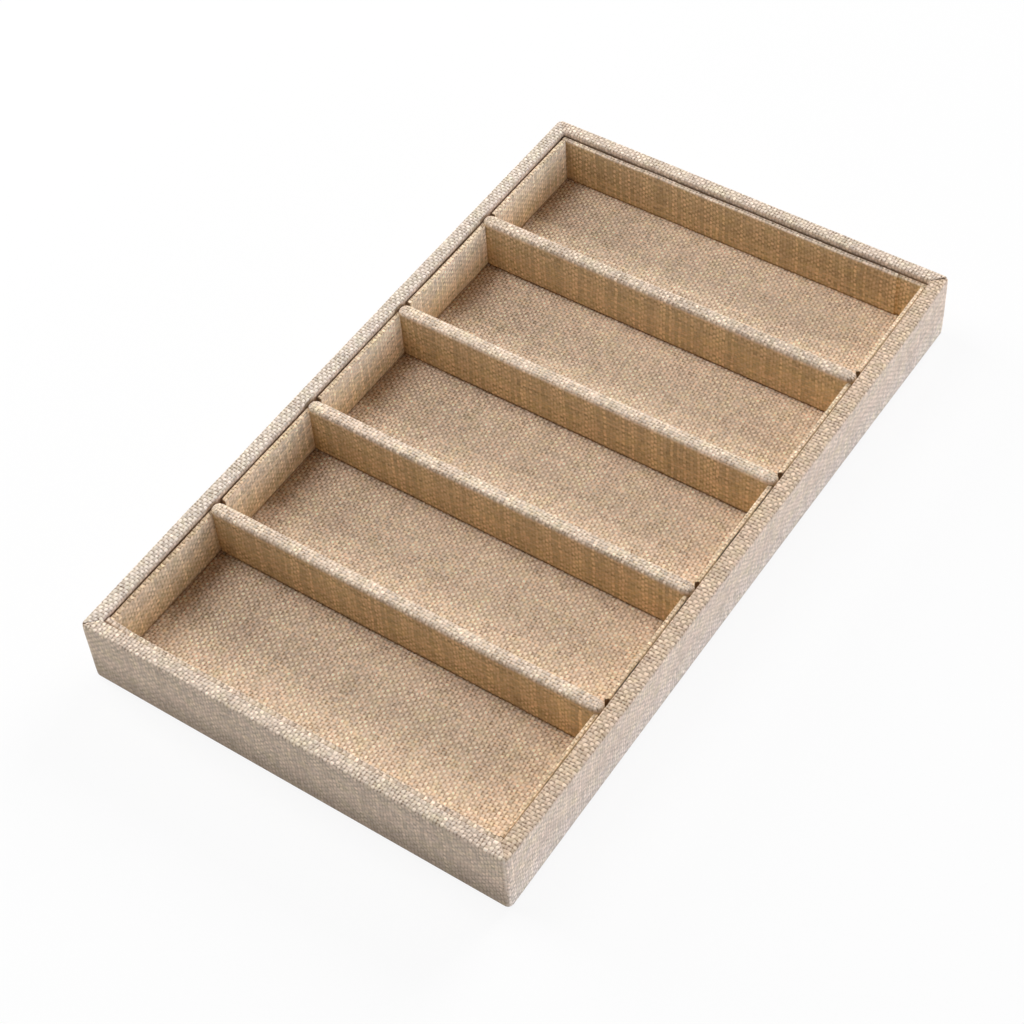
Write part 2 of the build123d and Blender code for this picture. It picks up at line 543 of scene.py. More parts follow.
def wrapped_panel(length, width, low, high, radii, end_segments=4):
    """A closed rounded box along X with its face at Y zero, and its radii at top, end and foot."""
    top_radius, end_radius, foot_radius = radii
    mesh = bmesh.new()
    bmesh.ops.create_cube(mesh, size=1.0)
    bmesh.ops.scale(mesh, verts=mesh.verts, vec=(length, width, high - low))
    bmesh.ops.translate(mesh, verts=mesh.verts, vec=(0, width / 2, (high + low) / 2))
    round_edges(mesh, edges_where(mesh, upright), end_radius, end_segments)
    round_edges(mesh, edges_at(mesh, high), top_radius, segments=4)
    if foot_radius:
        round_edges(mesh, edges_at(mesh, low), foot_radius, segments=2)
    bmesh.ops.recalc_face_normals(mesh, faces=mesh.faces)
    straight = length / 2 - end_radius
    slice_mesh(mesh, 0, steps(-straight, straight, PANEL_SLICE))
    slice_mesh(mesh, 2, steps(low + foot_radius, high - top_radius, SLICE_UP))
    return mesh


# %% The map and the window of a panel
SHIFT_ALONG, SHIFT_ACROSS = 0.0137, 0.0071


def panel_place(length, width, low, high, radii, shift):
    """The developed place of a point on a wrapped panel, for its UV map."""
    top_radius, end_radius, foot_radius = radii

    def place(point):
        height = under_the_foot(min(point.y, width - point.y), point.z, low, foot_radius)
        along = round_the_end(point.x, point.y, length / 2, width, end_radius)
        across = over_the_top(point.y, height, width, high, top_radius, top_radius)
        return along + SHIFT_ALONG * shift, across + SHIFT_ACROSS * shift
    return place


def open_window(mesh, test):
    """Take away the faces that the hem leaves bare."""
    bare = [face for face in mesh.faces if test(face.calc_center_median())]
    bmesh.ops.delete(mesh, geom=bare, context="FACES")


def turned_to(side, face_place, middle):
    """The matrix that carries a panel from its own place to one wall of the tray."""
    turn = {"left": 90, "right": -90, "back": 0, "front": 180}[side]
    places = {"left": (-face_place, middle), "right": (face_place, middle),
              "back": (middle, face_place), "front": (middle, -face_place)}
    x, y = places[side]
    return Matrix.Translation((x, y, 0)) @ Matrix.Rotation(math.radians(turn), 4, "Z")


# %% [markdown]
# ## The liners
#
# A liner is a thin card, so it leans a little off its wall, and its top edge
# rises and falls by a hair. That is what makes the dark line behind it wander
# in the photograph, from almost shut to half a millimetre wide; painted shade
# on the frame's cloth behind it darkens that line. The front liner is pressed
# to the rim and stands higher than the others, and only its left end gapes. The
# one across the back ends in a lap, where its cloth was joined. At its far end
# each side liner closes up to the divider, which has slid forward in its slot,
# and at its near end it draws back. The very ends face into the slots, so their
# faces get a second, darker linen, painted with the slot's shade. All of this
# could be sculpted by hand, but a table for each side is easier to read and to
# change.

# %% How a liner is set
LINER_RADII = (0.85 * MM, 0.5 * MM, 0.6 * MM)
LINER_HEM = 6.0 * MM
LEANS = {"left": 0.22 * MM, "right": 0.1 * MM, "back": 0.34 * MM, "front": 0.0}
BACK_TAPER = {"left": 0.0, "right": 0.45 * MM, "back": 0.0, "front": -0.25 * MM}
RISE = {"left": 0.0, "right": 0.0, "back": 0.0, "front": 0.8 * MM}
GAPE = {"left": 0.0, "right": 0.0, "back": 0.0, "front": 0.75 * MM}
GAPE_LENGTH = 14.0 * MM
CLOSING = {"left": (1.15 * MM, 1.25 * MM), "right": (0.55 * MM, 0.8 * MM)}
OPENING = {"left": (0.2 * MM, -0.4 * MM), "right": (0.5 * MM, -0.9 * MM)}
SQUARE = (0.0, 0.0)
END_STRETCH = 3.0 * MM
SLOT_DEPTH = 0.3 * MM
LAP_LENGTH = 12.0 * MM
LAP_STEP = 0.5 * MM
LAP_SLOPE = 0.1 * MM

# %% How a liner moves
LINER_SWELL = (26 * MM, 0.14 * MM)
LINER_RIPPLE = (7 * MM, 0.05 * MM)
RIPPLE_SEED = 5
FOOT_WAVER = 0.3
END_WAVER = 0.2
LEAN_WANDER, WANDER_LENGTH = 0.9, 16 * MM
DIMPLE, DIMPLE_LENGTH, DIMPLE_HEIGHT = 0.12 * MM, 45 * MM, 20 * MM
PULLED_IN = 0.6


def shape_liner(mesh, low, high, length, width, seed, side, ends, lap):
    """Lean, waver, both ends drawn out at the face and at the back, and a lap if there is one."""
    for vert in mesh.verts:
        point = vert.co
        share = (point.z - low) / (high - low)
        push = waver(point, *LINER_SWELL, seed) + waver(point, *LINER_RIPPLE, seed + RIPPLE_SEED)
        push *= FOOT_WAVER + (1 - FOOT_WAVER) * share
        push.x *= END_WAVER
        wander = noise.noise(Vector((point.x / WANDER_LENGTH, seed, 0)))
        push.y -= LEANS[side] * share * (1 + LEAN_WANDER * wander)
        push.y -= BACK_TAPER[side] * share * point.y / width
        push.y -= GAPE[side] * share * eased((point.x - length / 2 + GAPE_LENGTH) / GAPE_LENGTH)
        push.z = (push.z + RISE[side]) * share
        if point.y < width / 2:
            dimple = Vector((point.x / DIMPLE_LENGTH, point.z / DIMPLE_HEIGHT, seed))
            push.y += DIMPLE * noise.noise(dimple)
        sign = 1 if point.x > 0 else -1
        drawn = eased((abs(point.x) - length / 2 + END_STRETCH) / END_STRETCH)
        at_face, at_back = ends[0 if sign < 0 else 1]
        stretch = at_face + at_back * point.y / width - PULLED_IN * LEANS[side] * share
        push.x += sign * drawn * stretch
        if lap and point.x > length / 2 - LAP_LENGTH:
            push.y += LAP_STEP
            push.z -= LAP_STEP * share
        vert.co += push


# %% One liner
def slice_liner(mesh, low, high, length, width, lap):
    """Slices for the ends, the hem and the lap, and the window behind."""
    half = length / 2
    hem_low, hem_high = low + LINER_HEM, high - LINER_HEM
    slice_mesh(mesh, 0, [LINER_HEM - half, END_STRETCH - half, half - END_STRETCH,
                         half - LINER_HEM])
    if lap:
        lap_start = half - LAP_LENGTH
        slice_mesh(mesh, 0, [lap_start - LAP_SLOPE, lap_start + LAP_SLOPE])
    slice_mesh(mesh, 2, [hem_low, hem_high])
    open_window(mesh, lambda c: c.y > width - CLOSE and abs(c.x) < half - LINER_HEM
                and hem_low < c.z < hem_high)


def add_liner(name, side, seed, ends=(SQUARE, SQUARE), lap=False):
    low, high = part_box(name)
    axis = 0 if side in ("left", "right") else 1
    length = high[1 - axis] - low[1 - axis]
    width = high[axis] - low[axis]
    face_place = min(abs(low[axis]), abs(high[axis]))
    middle = (low[1 - axis] + high[1 - axis]) / 2
    mesh = wrapped_panel(length, width, low.z, high.z, LINER_RADII)
    slice_liner(mesh, low.z, high.z, length, width, lap)
    write_uv(mesh, panel_place(length, width, low.z, high.z, LINER_RADII, seed))
    # The faces at the very ends, in the slots, take the second material: the slot's painted shade.
    for face in mesh.faces:
        if abs(face.calc_center_median().x) > length / 2 - SLOT_DEPTH:
            face.material_index = 1
    shape_liner(mesh, low.z, high.z, length, width, seed, side, ends, lap)
    mesh.transform(turned_to(side, face_place, middle))
    for vert in mesh.verts:
        vert.co.x += bow(vert.co)
    piece = finish_piece(mesh, name.replace("cloth", "linen"), "tray")
    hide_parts(name)
    print(piece.name, [round(v / MM, 1) for v in (length, high.z - low.z, width)], "mm")


# %% All twelve liners
SEED_STEP = 1.3
seed = 1.0
for side in ("front", "back"):
    add_liner(f"end_liner_cloth_{side}", side, seed, lap=side == "back")
    seed += SEED_STEP
for side in ("left", "right"):
    for number in range(1, bays + 1):
        near_end = OPENING[side] if number > 1 else SQUARE
        far_end = CLOSING[side] if number < bays else SQUARE
        ends = (near_end, far_end) if side == "left" else (far_end, near_end)
        add_liner(f"side_liner_cloth_{side}_{number}", side, seed, ends)
        seed += SEED_STEP

# %% [markdown]
# ## The dividers
#
# A divider is a board as thick as the frame's, wrapped in linen with a seam
# along its foot. Its top is softly rounded, and its ends are almost half round
# where they stand in their slots. There the cloth is folded over itself, so it
# is drawn out into a blunt nose that sits a hair lower than the rest. Each
# divider rides on its own body, because it lifts out.

# %% Dividers
DIVIDER_RADII = (1.3 * MM, 2.4 * MM, 1.2 * MM)
DIVIDER_SWELL = (34 * MM, 0.16 * MM)
DIVIDER_RIPPLE = (9 * MM, 0.05 * MM)
IN_THE_SLOT = 12 * MM
NOSE = 3.0 * MM
NOSE_DROP = 0.15 * MM
NOSE_STRETCH = {"left": 0.8 * MM, "right": 1.1 * MM}
FIRST_SEED, DIVIDER_SEED_STEP = 20.0, 2.3


def shape_divider(mesh, low, high, length, seed):
    """Waver along the sides, none in the slots, and a nose at each end."""
    for vert in mesh.verts:
        point = vert.co
        share = (point.z - low) / (high - low)
        push = (waver(point, *DIVIDER_SWELL, seed)
                + waver(point, *DIVIDER_RIPPLE, seed + RIPPLE_SEED))
        push.x = 0
        push.y *= eased((length / 2 - abs(point.x)) / IN_THE_SLOT)
        push.z *= share
        nose = eased((abs(point.x) - length / 2 + NOSE) / NOSE)
        push.z -= NOSE_DROP * nose * share
        push.x += NOSE_STRETCH["right"] * nose if point.x > 0 else -NOSE_STRETCH["left"] * nose
        vert.co += push


for number in range(1, bays):
    low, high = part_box(f"divider_cloth_{number}")
    length, width, rise = high.x - low.x, high.y - low.y, high.z - low.z
    seed = FIRST_SEED + DIVIDER_SEED_STEP * number
    mesh = wrapped_panel(length, width, low.z, high.z, DIVIDER_RADII, end_segments=7)
    write_uv(mesh, panel_place(length, width, low.z, high.z, DIVIDER_RADII, seed))
    shape_divider(mesh, low.z, high.z, length, seed)
    mesh.transform(Matrix.Translation((0, low.y, 0)))
    piece = finish_piece(mesh, f"divider_linen_{number}", f"divider_{number}")
    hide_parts(f"divider_cloth_{number}")
    print(piece.name, [round(v / MM, 1) for v in (length, rise, width)], "mm")

# %% [markdown]
# ## The floor
#
# The floor card is covered in one piece, laid with its threads a few degrees
# out of square, as the photograph shows. Only its top shows, framed by the feet
# of the liners and dividers.

# %% Floor linen
FLOOR_EDGE_RADIUS = 0.6 * MM
FLOOR_HEM = 12.0 * MM
FLOOR_EDGE = 4 * MM
FLAT_WITHIN = 0.1 * MM
FLOOR_WAVER = (30 * MM, 0.05 * MM, 41.0)
FLOOR_GRAIN = Matrix.Rotation(math.radians(-2.7), 2)
low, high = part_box("floor_cloth")
across, depth = high.x - low.x, high.y - low.y
mesh = wrapped_panel(across, depth, low.z, high.z, (FLOOR_EDGE_RADIUS, WELL_CORNER_RADIUS, 0.0))
slice_mesh(mesh, 1, steps(FLOOR_EDGE, depth - FLOOR_EDGE, PANEL_SLICE))
open_window(mesh, lambda c: same(c.z, low.z) and abs(c.x) < high.x - FLOOR_HEM
            and FLOOR_HEM < c.y < depth - FLOOR_HEM)
write_uv(mesh, lambda point: FLOOR_GRAIN @ Vector((point.x, point.y + point.z - high.z)))
for vert in mesh.verts:
    if vert.co.z > high.z - FLAT_WITHIN:
        vert.co.z += min(0.0, waver(vert.co, *FLOOR_WAVER).z)
mesh.transform(Matrix.Translation((0, low.y, 0)))
piece = finish_piece(mesh, "floor_linen", "tray")
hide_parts("floor_cloth")
print("floor linen", len(piece.data.polygons), "faces")

# %% [markdown]
# ## Linen
#
# The cloth is a plain weave, about nineteen threads to the inch: each warp
# thread goes over one weft thread and under the next. An image would repeat
# and blur, so the weave is worked out in the material from the UV map. All of
# it is made of Math nodes, so a few helpers come first.

# %% Helpers for node trees
def put(tree, socket, value):
    """Link a socket, or set a plain value."""
    if isinstance(value, bpy.types.NodeSocket):
        tree.links.new(value, socket)
    else:
        socket.default_value = value


def calculator(tree):
    """A function that adds a Math node and returns its output."""
    def calc(operation, *values):
        node = tree.nodes.new("ShaderNodeMath")
        node.operation = operation
        for index, value in enumerate(values):
            put(tree, node.inputs[index], value)
        return node.outputs[0]
    return calc


def choose(tree, switch, one, other):
    """The first value where the switch is one, and the second where it is nought."""
    calc = calculator(tree)
    return calc("ADD", calc("MULTIPLY", switch, one),
                calc("MULTIPLY", calc("SUBTRACT", 1.0, switch), other))


def parts_of(tree, vector):
    node = tree.nodes.new("ShaderNodeSeparateXYZ")
    tree.links.new(vector, node.inputs[0])
    return node.outputs


def combine(tree, x, y, z=0.0):
    node = tree.nodes.new("ShaderNodeCombineXYZ")
    for index, value in enumerate((x, y, z)):
        put(tree, node.inputs[index], value)
    return node.outputs[0]


def noise_of(tree, vector, scale, detail=2.0, roughness=0.5):
    node = tree.nodes.new("ShaderNodeTexNoise")
    node.inputs["Scale"].default_value = scale
    node.inputs["Detail"].default_value = detail
    node.inputs["Roughness"].default_value = roughness
    tree.links.new(vector, node.inputs["Vector"])
    return node.outputs["Fac"]


def number_of(tree, value):
    """A random number from a thread's own number, or from the pair of them at a crossing."""
    node = tree.nodes.new("ShaderNodeTexWhiteNoise")
    vector = value.type == "VECTOR"
    node.noise_dimensions = "3D" if vector else "1D"
    tree.links.new(value, node.inputs["Vector" if vector else "W"])
    return node.outputs["Value"]


def opaque(color, share=1.0):
    """A colour made lighter or darker by a share, with the alpha that sockets ask for."""
    return [share * part for part in color] + [1.0]


def mix_colors(tree, factor, a, b, blend="MIX"):
    node = tree.nodes.new("ShaderNodeMix")
    node.data_type = "RGBA"
    node.blend_type = blend
    for index, value in ((0, factor), (6, a), (7, b)):
        put(tree, node.inputs[index], value)
    return node.outputs[2]


def spread(tree, value, low, high, new_low=0.0, new_high=1.0):
    node = tree.nodes.new("ShaderNodeMapRange")
    for name, number in zip(("Value", "From Min", "From Max", "To Min", "To Max"),
                            (value, low, high, new_low, new_high)):
        put(tree, node.inputs[name], number)
    return node.outputs["Result"]


def new_material(name, roughness):
    """A material, its node tree and its shader."""
    material = bpy.data.materials.new(name)
    material.use_nodes = True
    shader = material.node_tree.nodes["Principled BSDF"]
    shader.inputs["Roughness"].default_value = roughness
    return material, material.node_tree, shader


def add_bump(tree, shader, height, distance, strength=1.0):
    bump = tree.nodes.new("ShaderNodeBump")
    put(tree, bump.inputs["Strength"], strength)
    bump.inputs["Distance"].default_value = distance
    tree.links.new(height, bump.inputs["Height"])
    tree.links.new(bump.outputs[0], shader.inputs["Normal"])


def blend_shaders(tree, factor, one, other, output):
    """Mix two shaders, and send the mix to the output node."""
    blend = tree.nodes.new("ShaderNodeMixShader")
    for index, socket in enumerate((factor, one, other)):
        tree.links.new(socket, blend.inputs[index])
    tree.links.new(blend.outputs[0], tree.nodes[output].inputs["Surface"])


# %% [markdown]
# The weave is measured in pitches, the step from one thread to the next. Two
# numbers number the threads, and the cosine of the place along a thread says
# how high it rides. Whichever thread is higher is the one that shows. Twisted
# thread also sways sideways wherever it rides up, which opens the holes in
# pairs, as in a brick wall. Hand-woven threads drift out of true, and hand-spun
# ones are thick and thin along their length, which stretched noise gives.

# %% One thread
WARP_HALF, WEFT_HALF = 0.42, 0.35
WARP_SWAY, WEFT_SWAY = 0.19, 0.08
WARP_LEAD = 0.05
SLUB = 0.3
CROWN = 0.24
RIDE = 0.55
NO_THREAD = -0.6


def thread_height(tree, over, along, across, slub, half, sway, ride, lead):
    """How high one thread rides at each point, and far below where it doesn't pass."""
    calc = calculator(tree)
    crimp = calc("MULTIPLY", over, calc("COSINE", calc("MULTIPLY", along, math.pi)))
    thickness = calc("ADD", half, calc("MULTIPLY", calc("SUBTRACT", slub, 0.5), SLUB * 2))
    share = calc("DIVIDE", calc("ADD", across, calc("MULTIPLY", crimp, sway)), thickness)
    inside = calc("SUBTRACT", 1.0, calc("MULTIPLY", share, share))
    crown = calc("MULTIPLY", calc("SQRT", calc("MAXIMUM", inside, 0.0)), CROWN)
    thread = calc("ADD", calc("ADD", crown, calc("MULTIPLY", crimp, ride)), lead)
    return choose(tree, calc("GREATER_THAN", inside, 0.0), thread, NO_THREAD)


# %% The weave
WARP_PITCH, WEFT_PITCH = 1.37 * MM, 1.21 * MM
DRIFT, DRIFT_SCALE = 1.7, 0.13
SLUB_STRETCH, THREADS_APART = 0.25, 3.7
WEFT_NUMBERS = 77.3
SPOT_SCALE = 1.1


def drift(tree, u, v, seed):
    """How many pitches the cloth is pulled out of true."""
    return calculator(tree)("MULTIPLY", DRIFT, noise_of(tree, combine(tree, u, v, seed),
                                                        DRIFT_SCALE, 3.0, 0.65))


def add_weave(tree, swaying, closeness):
    """The weave's height, one where the warp shows, and the random numbers of its threads."""
    calc = calculator(tree)
    uv = tree.nodes.new("ShaderNodeUVMap")
    uv.uv_map = "cloth"
    flat = parts_of(tree, uv.outputs[0])
    u, v = calc("DIVIDE", flat[0], WARP_PITCH), calc("DIVIDE", flat[1], WEFT_PITCH)
    u, v = calc("ADD", u, drift(tree, u, v, 3.0)), calc("ADD", v, drift(tree, u, v, 8.0))
    i, j = calc("FLOOR", u), calc("FLOOR", v)
    across_u = calc("SUBTRACT", calc("FRACT", u), 0.5)
    across_v = calc("SUBTRACT", calc("FRACT", v), 0.5)
    parity = calc("FLOORED_MODULO", calc("ADD", i, j), 2.0)
    over = calc("SUBTRACT", 1.0, calc("MULTIPLY", parity, 2.0))
    warp_slub = noise_of(tree, combine(tree, calc("MULTIPLY", i, THREADS_APART),
                                       calc("MULTIPLY", v, SLUB_STRETCH), 5.0), 1.0)
    weft_slub = noise_of(tree, combine(tree, calc("MULTIPLY", u, SLUB_STRETCH),
                                       calc("MULTIPLY", j, THREADS_APART), 9.0), 1.0)
    warp = thread_height(tree, over, across_v, across_u, warp_slub,
                         WARP_HALF * closeness, WARP_SWAY * swaying, RIDE, WARP_LEAD)
    weft = thread_height(tree, over, across_u, across_v, weft_slub,
                         WEFT_HALF * closeness, WEFT_SWAY * swaying, -RIDE, 0.0)
    warp_shows = calc("GREATER_THAN", warp, weft)
    warp_tone, weft_tone = number_of(tree, i), number_of(tree, calc("ADD", j, WEFT_NUMBERS))
    return {"uv": uv.outputs[0], "height": calc("MAXIMUM", warp, weft), "warp shows": warp_shows,
            "tone": choose(tree, warp_shows, warp_tone, weft_tone),
            "slub": choose(tree, warp_shows, warp_slub, weft_slub),
            "spot": noise_of(tree, combine(tree, u, v, 2.0), SPOT_SCALE, 1.0),
            "crossing": number_of(tree, combine(tree, i, j))}


# %% [markdown]
# The warp is spun paler than the weft, and the sides of both threads fall off
# into brown holes, some deep and some almost closed: this darkening down the
# thread sides and into the holes is painted shade of the weave's hollows. On a
# steep wall the holes are seen from the side and close up, so there the threads
# are almost plain and the bump is low. That is read from the surface's own
# direction, so the cloth looks the same from everywhere. The other choice, two
# materials for each piece, would show a line where they meet on a rounded edge.

# %% Colours of the threads
UPRIGHT, LEVEL = 0.3, 0.8
SIDE_CONTRAST = 0.3
SIDE_WARP, SIDE_WEFT = 1.01, 0.91
CLOSED_TONE = 0.35
THREAD_SIDE, THREAD_CROWN = -0.3, 0.55
DEEP_HOLE, CLOSED_HOLE = 0.35, 0.7


def by_facing(tree, on_upright, on_level):
    """One value on upright faces, and another on level ones."""
    geometry = tree.nodes.new("ShaderNodeNewGeometry")
    level = calculator(tree)("ABSOLUTE", parts_of(tree, geometry.outputs["True Normal"])[2])
    return spread(tree, level, UPRIGHT, LEVEL, on_upright, on_level)


def thread_colors(tree, weave, warp, weft, low, hole):
    """Threads that are light on the crown and dark in the holes, and plainer on upright faces."""
    plain = mix_colors(tree, weave["warp shows"], opaque(weft), opaque(warp))
    # Painted shade of the weave: the low colour down the thread sides, the hole colour in the
    # holes.
    rise = spread(tree, weave["height"], THREAD_SIDE, THREAD_CROWN)
    thread = mix_colors(tree, rise, opaque(low), plain)
    closed = spread(tree, weave["spot"], DEEP_HOLE, CLOSED_HOLE)
    between = mix_colors(tree, closed, opaque(hole), opaque(low))
    passes = calculator(tree)("GREATER_THAN", weave["height"], NO_THREAD / 2)
    thread = mix_colors(tree, passes, between, thread)
    side = mix_colors(tree, weave["warp shows"], opaque(weft, SIDE_WEFT), opaque(warp, SIDE_WARP))
    side = mix_colors(tree, CLOSED_TONE, side, opaque(low))
    return mix_colors(tree, by_facing(tree, SIDE_CONTRAST, 1.0), side, thread)


# %% [markdown]
# Raw linen is never one colour. Every thread has a tone of its own, thick
# stretches are lighter, and fine fibres catch the light. Over that lie faint
# cool, warm and rosy clouds. A shade is the last layer: it multiplies the colour
# from one height to another, or from one place on the cloth's run to another.
# Most shades are painted light and shade: a painted highlight on the tops,
# painted light on the upper sides, painted shadow along the feet and painted
# shade behind the liners; a few only tint the cloth. A shade may be weaker at
# the front of the tray.

# %% Mottled and shaded
SLUB_TONE, SPOT_TONE, FIBRE_TONE, CROSSING_TONE = 0.24, 0.3, 0.2, 0.26
FIBRE_SCALE, WARM_SCALE, ROSY_SCALE = 2600.0, 260.0, 90.0
COOL, WARM, ROSY = (1.0, 0.965, 0.97), (1.0, 0.985, 0.89), (1.0, 0.95, 0.94)
WARM_RANGE, ROSY_RANGE = (0.36, 0.64), (0.4, 0.62)
FULL_FROM = 0.4 * half_y


def mottled(tree, threads, weave, streaks):
    calc = calculator(tree)
    fibres = noise_of(tree, weave["uv"], FIBRE_SCALE, 2.0, 0.6)
    parts = ((weave["tone"], streaks), (weave["slub"], SLUB_TONE), (weave["spot"], SPOT_TONE),
             (fibres, FIBRE_TONE), (weave["crossing"], CROSSING_TONE))
    lightness = 1 - sum(size for part, size in parts) / 2
    for part, size in parts:
        lightness = calc("ADD", lightness, calc("MULTIPLY", part, size))
    lit = tree.nodes.new("ShaderNodeVectorMath")
    lit.operation = "SCALE"
    tree.links.new(threads, lit.inputs[0])
    tree.links.new(lightness, lit.inputs["Scale"])
    warm = spread(tree, noise_of(tree, weave["uv"], WARM_SCALE, 2.0, 0.6), *WARM_RANGE)
    rosy = spread(tree, noise_of(tree, weave["uv"], ROSY_SCALE, 3.0, 0.6), *ROSY_RANGE)
    tint = mix_colors(tree, warm, opaque(COOL), opaque(WARM))
    tint = mix_colors(tree, rosy, tint, opaque(ROSY))
    return mix_colors(tree, 1.0, lit.outputs[0], tint, "MULTIPLY")


def shaded(tree, color, uv, shades):
    """Lay the shades over a colour: measure, start, full, tint, and its share at the front."""
    coordinates = tree.nodes.new("ShaderNodeTexCoord")
    place = parts_of(tree, coordinates.outputs["Object"])
    measures = {"height": place[2], "run": parts_of(tree, uv)[1]}
    for measure, start, full, tint, in_front in shades:
        share = calculator(tree)("MULTIPLY", spread(tree, measures[measure], start, full),
                                 spread(tree, place[1], -half_y, FULL_FROM, in_front))
        tinted = mix_colors(tree, 1.0, color, opaque(tint), "MULTIPLY")
        color = mix_colors(tree, share, color, tinted)
    return color


# %% One linen
SIDE_BUMP, LEVEL_BUMP = 0.15, 0.7
BUMP_HEIGHT = 0.3 * MM


def linen(name, warp, weft, low, hole, streaks, swaying=1.0, closeness=1.0, shades=()):
    """A linen from the colours of its threads and holes, how streaky it is, and its shades."""
    material, tree, shader = new_material(name, roughness=0.85)
    weave = add_weave(tree, swaying, closeness)
    threads = thread_colors(tree, weave, warp, weft, low, hole)
    color = shaded(tree, mottled(tree, threads, weave, streaks), weave["uv"], shades)
    tree.links.new(color, shader.inputs["Base Color"])
    add_bump(tree, shader, weave["height"], BUMP_HEIGHT, by_facing(tree, SIDE_BUMP, LEVEL_BUMP))
    shader.inputs["Specular IOR Level"].default_value = 0.2
    shader.inputs["Sheen Weight"].default_value = 0.05
    shader.inputs["Sheen Roughness"].default_value = 0.5
    return material


# %% [markdown]
# The linen comes in five sets of colours. They differ partly in the cloth's own
# tone and partly by painted light and shade. The frame's is the palest and the
# closest woven, and the floor's is warmer and painted a little lighter. The set
# for the dividers and the end liners is the darkest and streakiest, painted
# shade of the well, and the side liners' is a little lighter. The last is
# painted shade for the ends of the liners inside the slots. The frame's linen
# has painted shade where it runs down behind the liners.

# %% The linen's colours, with painted light and shade
LINEN_TONES_AND_SHADE = {
    "frame": dict(warp=(0.935, 0.817, 0.69), weft=(0.787, 0.66, 0.532), low=(0.375, 0.262, 0.175),
                  hole=(0.13, 0.065, 0.03), streaks=0.2, swaying=0.4, closeness=0.95),
    "floor": dict(warp=(1.0, 0.86, 0.70), weft=(0.85, 0.665, 0.485), low=(0.40, 0.23, 0.105),
                  hole=(0.12, 0.047, 0.014), streaks=0.2),
    # The walls' and the sides' colours are partly painted shade of the well.
    "walls": dict(warp=(0.805, 0.635, 0.395), weft=(0.69, 0.52, 0.305), low=(0.315, 0.193, 0.083),
                  hole=(0.10, 0.045, 0.015), streaks=0.44),
    "sides": dict(warp=(0.89, 0.70, 0.43), weft=(0.76, 0.57, 0.33), low=(0.35, 0.21, 0.088),
                  hole=(0.11, 0.047, 0.015), streaks=0.4),
    # Painted shade of the slots, for the liners' ends.
    "slots": dict(warp=(0.3, 0.21, 0.13), weft=(0.25, 0.17, 0.1), low=(0.13, 0.08, 0.04),
                  hole=(0.05, 0.025, 0.01), streaks=0.4),
}

# %% Shades: painted light, painted shade and tints
# Painted highlight on the tops of the dividers and the end liners.
PAINTED_TOP_HIGHLIGHT, WARM_EDGE = (1.13, 1.23, 1.63), (0.97, 0.88, 0.8)
# Painted light on the upper part of the side liners, weaker at the front.
PAINTED_SIDE_LIGHT, PAINTED_SIDE_LIGHT_IN_FRONT = (1.26, 1.5, 2.05), 0.62
WARM_TOP, COOL_TOP = (0.94, 0.88, 0.81), (1.0, 1.04, 1.08)
# Painted shadow along the feet of the dividers and of the liners.
PAINTED_DIVIDER_FOOT_SHADOW, PAINTED_LINER_FOOT_SHADOW = (0.26, 0.15, 0.09), (0.5, 0.4, 0.32)
# Painted contact shadow along the frame's foot, and painted bounce light low on the right side.
PAINTED_RIM_FOOT_SHADOW, PAINTED_BOUNCE_LIGHT = (0.45, 0.43, 0.42), (1.04, 1.09, 1.15)
# Painted shade: the front's outer face is darker towards its foot.
PAINTED_FRONT_FOOT_SHADE = (0.72, 0.71, 0.7)
# Painted shade on the frame's inner face below the rim, in the gap behind the liners.
PAINTED_GAP_SHADE = (0.45, 0.36, 0.28)
GAP_SHADE_BELOW = {"left": 1.5 * MM, "right": 2.4 * MM, "front": 1.8 * MM, "back": 1.5 * MM}


def at_height(start, full, tint, in_front=1.0):
    return "height", start, full, tint, in_front


def rim_shades(side, *own):
    """Painted shadow at the foot and painted shade behind the liner of every length, and its own
    shades.
    """
    gap_shade_start = THREAD_SHIFTS[side][1] + rim_run(wall, top_z - GAP_SHADE_BELOW[side])
    return [at_height(foot_z + 1.4 * MM, foot_z + 0.5 * MM, PAINTED_RIM_FOOT_SHADOW),
            ("run", gap_shade_start, gap_shade_start + 1.0 * MM, PAINTED_GAP_SHADE, 1.0), *own]


# The liners' painted shadow along their feet.
liner_foot_shadow = at_height(floor_z + 1.1 * MM, floor_z + 0.5 * MM, PAINTED_LINER_FOOT_SHADOW)
shades_of = {
    "rim_linen_left": rim_shades("left", at_height(top_z - 1.2 * MM, top_z - 0.4 * MM, COOL_TOP)),
    "rim_linen_back": rim_shades("back"),
    # The right side gets painted bounce light, bluer and lighter towards its foot.
    "rim_linen_right": rim_shades("right",
                                  at_height(top_z - 1.2 * MM, top_z - 0.4 * MM, WARM_TOP),
                                  at_height(15.0 * MM, 4.0 * MM, PAINTED_BOUNCE_LIGHT)),
    "rim_linen_front": rim_shades("front", at_height(16.0 * MM, 5.0 * MM, PAINTED_FRONT_FOOT_SHADE)),
    "divider": [at_height(top_z - 2.2 * MM, top_z - 0.9 * MM, PAINTED_TOP_HIGHLIGHT),
                at_height(floor_z + 1.4 * MM, floor_z + 0.8 * MM, PAINTED_DIVIDER_FOOT_SHADOW)],
    "end": [at_height(top_z - 2.9 * MM, top_z - 2.3 * MM, PAINTED_TOP_HIGHLIGHT), liner_foot_shadow],
    "side": [at_height(floor_z + 4.5 * MM, top_z - 4.0 * MM, PAINTED_SIDE_LIGHT, PAINTED_SIDE_LIGHT_IN_FRONT),
             at_height(top_z - 2.6 * MM, top_z - 2.1 * MM, WARM_EDGE), liner_foot_shadow],
    "floor": [],
}

